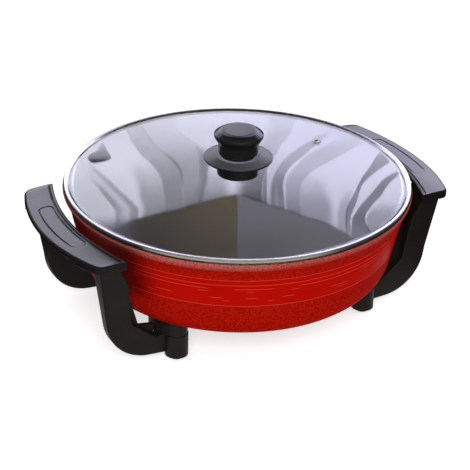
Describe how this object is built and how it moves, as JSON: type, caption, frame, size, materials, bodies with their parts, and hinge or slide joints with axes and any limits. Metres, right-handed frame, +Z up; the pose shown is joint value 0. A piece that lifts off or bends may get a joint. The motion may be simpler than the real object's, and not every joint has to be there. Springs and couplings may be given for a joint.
{
  "type": "electric hot pot",
  "caption": "Shallow electric hot pot: red round pan on dark moulded legs with side grips, plug-in inlet and a lift-off glass lid in a steel band with a guarded knob.",
  "frame": {"origin": "on the surface the hot pot stands on, under the middle of the pan", "axes": "+Z up along the pan's axis; +X through the grips, towards the power inlet; +Y to the rear"},
  "size_m": [0.4154, 0.346, 0.186],
  "materials": {
    "red_enamel": "cast, with red enamel, part crinkled, part glossy",
    "element_tube": "heat-dulled steel tube",
    "terminal_metal": "nickel plated",
    "ceramic": "unglazed white ceramic",
    "bare_aluminium": "as cast",
    "black_moulding": "dark thermoset, satin",
    "grip_moulding": "dark thermoset, soft satin sheen",
    "knob_moulding": "dark thermoset, polished",
    "foot_rubber": "matt",
    "screw_steel": "zinc plated",
    "lid_glass": "clear tempered glass",
    "band_steel": "polished stainless",
    "silicone": "translucent silicone"
  },
  "bodies": {
    "cooker": {"pan_body": "red_enamel", "heating_element": "element_tube", "rear_terminal_pin": "terminal_metal", "front_terminal_pin": "terminal_metal", "rear_terminal_bush": "ceramic", "front_terminal_bush": "ceramic", "probe_guide": "bare_aluminium", "inlet_shroud": "black_moulding", "inlet_screws": "screw_steel", "right_rear_leg": "black_moulding", "right_rear_support": "black_moulding", "right_rear_foot": "foot_rubber", "right_front_leg": "black_moulding", "right_front_support": "black_moulding", "right_front_foot": "foot_rubber", "left_rear_leg": "black_moulding", "left_rear_support": "black_moulding", "left_rear_foot": "foot_rubber", "left_front_leg": "black_moulding", "left_front_support": "black_moulding", "left_front_foot": "foot_rubber", "foot_screws": "screw_steel", "foot_washers": "screw_steel", "right_grip": "grip_moulding", "left_grip": "grip_moulding", "grip_screws": "screw_steel"},
    "lid": {"lid_glass": "lid_glass", "lid_band": "band_steel", "vent_eyelet": "band_steel", "knob_guard": "knob_moulding", "knob_head": "knob_moulding", "knob_seal": "silicone", "knob_washer": "screw_steel", "knob_screw": "screw_steel"}
  },
  "joints": [
    {"name": "lid_lift", "type": "slide", "parent": "cooker", "child": "lid", "axis": [0, 0, 1], "range_m": [0, 0.2]}
  ]
}
